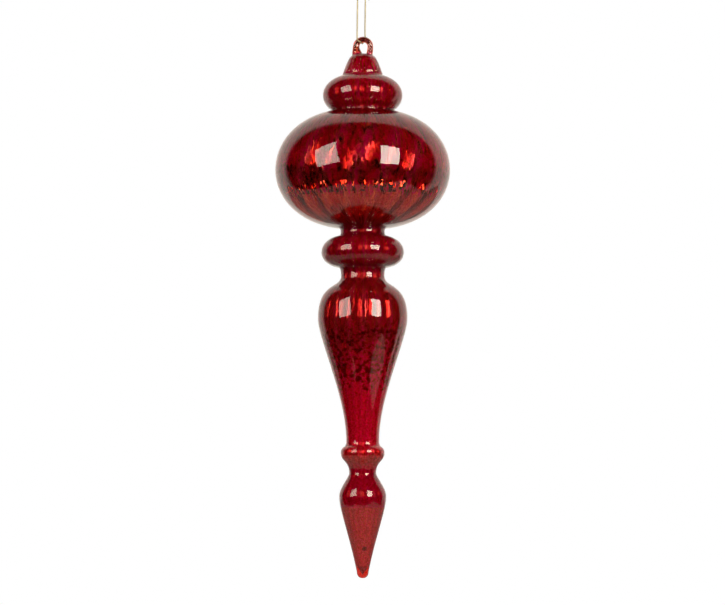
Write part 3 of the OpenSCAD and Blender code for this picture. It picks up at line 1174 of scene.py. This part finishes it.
@dataclass
class TiedKnot:
    """The knot: turns of thread drawn tight round both ends, and two cut tails. Sizes in mm."""

    thread: HangingThread
    turns: int = 3
    tail_l: float = 3.5
    tail_tilt: float = 48.0
    headings: tuple[float, float] = (-20.0, 35.0)

    def build(self, finish: bpy.types.Material) -> bpy.types.Object:
        """Builds the knot as one piece.

        Args:
            finish: Material of the thread.

        Returns:
            The knot.
        """
        thick = self.thread.thickness
        parts = [self.core(thick), self.coil(thick)]
        parts += [self.tail(thick, up) for up in (True, False)]
        points: list[np.ndarray] = []
        faces: list[tuple[int, ...]] = []
        first = 0
        for part_points, part_faces in parts:
            points.append(part_points)
            faces += [tuple(first + k for k in face) for face in part_faces]
            first += len(part_points)
        place = np.array(self.thread.knot_low) + (0, 0, self.thread.knot_h / 2)
        knot = new_piece("tied_knot", (np.vstack(points) + place) * MM, faces)
        knot.data.materials.append(finish)
        return knot

    def core(self, thick: float) -> tuple[np.ndarray, list]:
        """Builds the two ends inside the turns, rounded off above and below.

        Args:
            thick: Thickness of the thread.

        Returns:
            Vertices and faces.
        """
        half = self.thread.knot_h / 2
        z = np.linspace(-half, half, 25)
        radii = 0.9 * thick * np.clip(1 - np.abs(z / half) ** 6, 0.0, 1.0) ** 0.5 + 0.02
        line = np.column_stack((0 * z, 0 * z, z))
        return swept_tube(line, radii, 24)

    def coil(self, thick: float) -> tuple[np.ndarray, list]:
        """Builds the turns, wound as one helix whose ends tuck into the core.

        Args:
            thick: Thickness of the thread.

        Returns:
            Vertices and faces.
        """
        t = np.linspace(0, 1, 40 * self.turns)
        angle = 2 * math.pi * self.turns * t
        tuck = np.minimum(1.0, 9 * np.minimum(t, 1 - t))
        radius = thick * (0.35 + 0.65 * tuck)
        rise = 0.9 * thick * self.turns * (t - 0.5)
        line = np.column_stack((radius * np.cos(angle), radius * np.sin(angle), rise))
        return swept_tube(line, np.full(t.size, thick / 2), self.thread.sides, self.thread.plies,
                          self.thread.groove, 6.0 * self.turns)

    def tail(self, thick: float, up: bool) -> tuple[np.ndarray, list]:
        """Builds one cut tail, a little curved.

        Args:
            thick: Thickness of the thread.
            up: True for the upper tail.

        Returns:
            Vertices and faces.
        """
        tilt = math.radians(self.tail_tilt)
        heading = math.radians(self.headings[0 if up else 1])
        t = np.linspace(0, 1, 30)
        out = self.tail_l * math.sin(tilt) * t
        rise = self.tail_l * math.cos(tilt) * t * (1 - 0.12 * t) * (1 if up else -1)
        line = np.column_stack((out * math.cos(heading), out * math.sin(heading), rise))
        radii = thick / 2 * (1 - 0.1 * t)
        return swept_tube(line, radii, self.thread.sides, self.thread.plies,
                          self.thread.groove * 1.3, 1.5)


@dataclass
class Viewpoint:
    """The camera of the photograph: level with the top of the teardrop, tilted slightly up.

    Its place and the height that it aims at are in metres.
    """

    distance: float = 1.25
    height: float = -0.235
    aim_height: float = -0.1453
    side: float = -0.0001
    sensor_mm: float = 36.0
    lens_mm: float = 112.61

    def build(self) -> bpy.types.Object:
        """Places the camera and makes it the scene's own.

        Returns:
            The camera.
        """
        data = bpy.data.cameras.new("viewpoint")
        data.sensor_width = self.sensor_mm
        data.lens = self.lens_mm
        data.clip_start = 0.01
        camera = bpy.data.objects.new("viewpoint", data)
        camera.location = (self.side, -self.distance, self.height)
        look = Vector((self.side, 0, self.aim_height)) - camera.location
        camera.rotation_euler = look.to_track_quat("-Z", "Y").to_euler()
        bpy.context.scene.collection.objects.link(camera)
        bpy.context.scene.camera = camera
        return camera


@dataclass(frozen=True)
class Softbox:
    """A rectangular softbox that faces the ball.

    Its centre is a place seen from the middle of the ball, and its half sides are vectors, all
    in metres.
    """

    name: str
    centre: Point3
    half_width: Point3
    half_height: Point3
    radiance: float
    tint: str = "#FFF7EA"

    def build(self, ball: Vector) -> bpy.types.Object:
        """Places the lamp.

        Args:
            ball: The middle of the ball, which the softbox lights.

        Returns:
            The lamp.
        """
        across, up = Vector(self.half_width), Vector(self.half_height)
        away = across.cross(up).normalized()
        if away.dot(Vector(self.centre)) < 0:
            across, away = -across, -away
        data = bpy.data.lights.new(self.name, "AREA")
        data.shape = "RECTANGLE"
        data.size = 2 * across.length
        data.size_y = 2 * up.length
        data.energy = self.radiance * math.pi * data.size * data.size_y
        data.color = linear(self.tint)[:3]
        lamp = bpy.data.objects.new(self.name, data)
        turn = Matrix((across.normalized(), away.cross(across).normalized(), away)).transposed()
        lamp.matrix_world = Matrix.Translation(ball + Vector(self.centre)) @ turn.to_4x4()
        bpy.context.scene.collection.objects.link(lamp)
        return lamp


@dataclass
class Studio:
    """Pale floor, white surroundings behind the glass and two softboxes before it, in metres.

    The wall's left, right and upper edges are shares of the distance to it. What the glass
    shows from outside them is the dark room, and the camera itself sees the backdrop.
    """

    ball: Vector = field(default_factory=lambda: Vector((0, 0, -0.0715)))
    floor_z: float = -0.36
    floor_edge: tuple[Point, ...] = ((-0.18, -0.265), (0.4, -0.265), (0.42, 0.12),
                                     (1.0, 0.75), (-1.0, 0.75), (-0.45, 0.1))
    wall_left: float = 1.66
    wall_right: float = 2.54
    wall_rise: float = 12.0
    edge: float = 0.2
    backdrop: str = "#FFFFFF"
    wall: str = "#FFF8EC"
    room: str = "#070708"
    lamps: tuple[Softbox, ...] = (
        Softbox("left_softbox", (-0.988, -0.747, 0.382), (0.411, -0.068, 0.091),
                (-0.083, 0.067, 0.454), 7.0),
        Softbox("right_softbox", (0.76, -0.99, 0.345), (0.290, 0.084, -0.017),
                (-0.01, 0.082, 0.41), 14.5))

    def build(self) -> None:
        """Builds the surroundings, the floor and the lamps."""
        self.surroundings()
        self.floor()
        for lamp in self.lamps:
            lamp.build(self.ball)
        view = bpy.context.scene.view_settings
        view.view_transform = "Standard"
        view.look = "None"

    def floor(self) -> bpy.types.Object:
        """Lays the studio paper under the glass, just below what the camera sees.

        Returns:
            The floor.
        """
        points = np.array([(*p, self.floor_z) for p in self.floor_edge])
        floor = new_piece("studio_floor", points, [tuple(range(len(points)))])
        floor.data.materials.append(MattPaper().material())
        return floor

    def surroundings(self) -> None:
        """Sets what lies round the scene: a white wall behind it and a dark room before it."""
        world = bpy.data.worlds.new("studio")
        bpy.context.scene.world = world
        world.use_nodes = True
        tree = world.node_tree
        tree.nodes.clear()
        way = add_node(tree, "ShaderNodeTexCoord").outputs["Generated"]
        parts = add_node(tree, "ShaderNodeSeparateXYZ", {}, {"Vector": way}).outputs
        leftwards = add_node(tree, "ShaderNodeMath", {"operation": "MULTIPLY"}, {
            0: parts["X"], 1: -1.0}).outputs["Value"]
        wall: Socket | float = 1.0
        for slope, offset in ((self.wall_left, leftwards), (self.wall_right, parts["X"]),
                              (self.wall_rise, parts["Z"])):
            wall = add_node(tree, "ShaderNodeMath", {"operation": "MULTIPLY"}, {
                0: wall, 1: self.inside(tree, parts["Y"], slope, offset)}).outputs["Value"]
        colour = add_node(tree, "ShaderNodeMix", {"data_type": "RGBA"}, {
            "Factor": wall, "A": linear(self.room), "B": linear(self.wall)})
        seen = add_node(tree, "ShaderNodeLightPath").outputs["Is Camera Ray"]
        shown = add_node(tree, "ShaderNodeMix", {"data_type": "RGBA"}, {
            "Factor": seen, "A": colour.outputs["Result"], "B": linear(self.backdrop)})
        light = add_node(tree, "ShaderNodeBackground", {}, {"Color": shown.outputs["Result"]})
        add_node(tree, "ShaderNodeOutputWorld", {}, {"Surface": light.outputs["Background"]})

    def inside(self, tree: Tree, depth: Socket, slope: float, offset: Socket) -> Socket:
        """Tells whether a direction lies inside one edge of the wall.

        Args:
            tree: Node tree of the surroundings.
            depth: How far the direction points backwards.
            slope: Distance of the edge from the middle, as a share of the depth.
            offset: How far the direction points towards that edge.

        Returns:
            1 inside the edge, 0 outside, and between them a soft step.
        """
        reach = add_node(tree, "ShaderNodeMath", {"operation": "MULTIPLY"}, {
            0: depth, 1: slope})
        past = add_node(tree, "ShaderNodeMath", {"operation": "SUBTRACT"}, {
            0: reach.outputs["Value"], 1: offset})
        return add_node(tree, "ShaderNodeMapRange", {"interpolation_type": "SMOOTHSTEP"}, {
            "Value": past.outputs["Value"], "From Min": -self.edge,
            "From Max": self.edge}).outputs["Result"]


def stand_for(piece: bpy.types.Object, node: Node) -> None:
    """Makes a piece ride on the part in place of a CAD node.

    Args:
        piece: The piece.
        node: The CAD node that it stands for.
    """
    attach(piece, "root")
    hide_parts(node.value)
    LOG.info("%s: %d faces, for %s", piece.name, len(piece.data.polygons), node.value)


def main() -> None:
    """Builds the camera, the thread, the glass and the studio."""
    logging.basicConfig(level=logging.INFO, format="%(message)s")
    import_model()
    Viewpoint().build()

    yarn = MetallisedThread().material()
    loop = HangingThread()
    thread, line = loop.build(yarn)
    knot = TiedKnot(loop).build(yarn)
    stand_for(thread, Node.THREAD)
    stand_for(knot, Node.KNOT)

    drop = GlassDrop().build(BlownRedGlass().material(), SpeckledSilvering().material())
    for piece in drop:
        stand_for(piece, Node.GLASS)

    Studio().build()


if __name__ == "__main__":
    main()
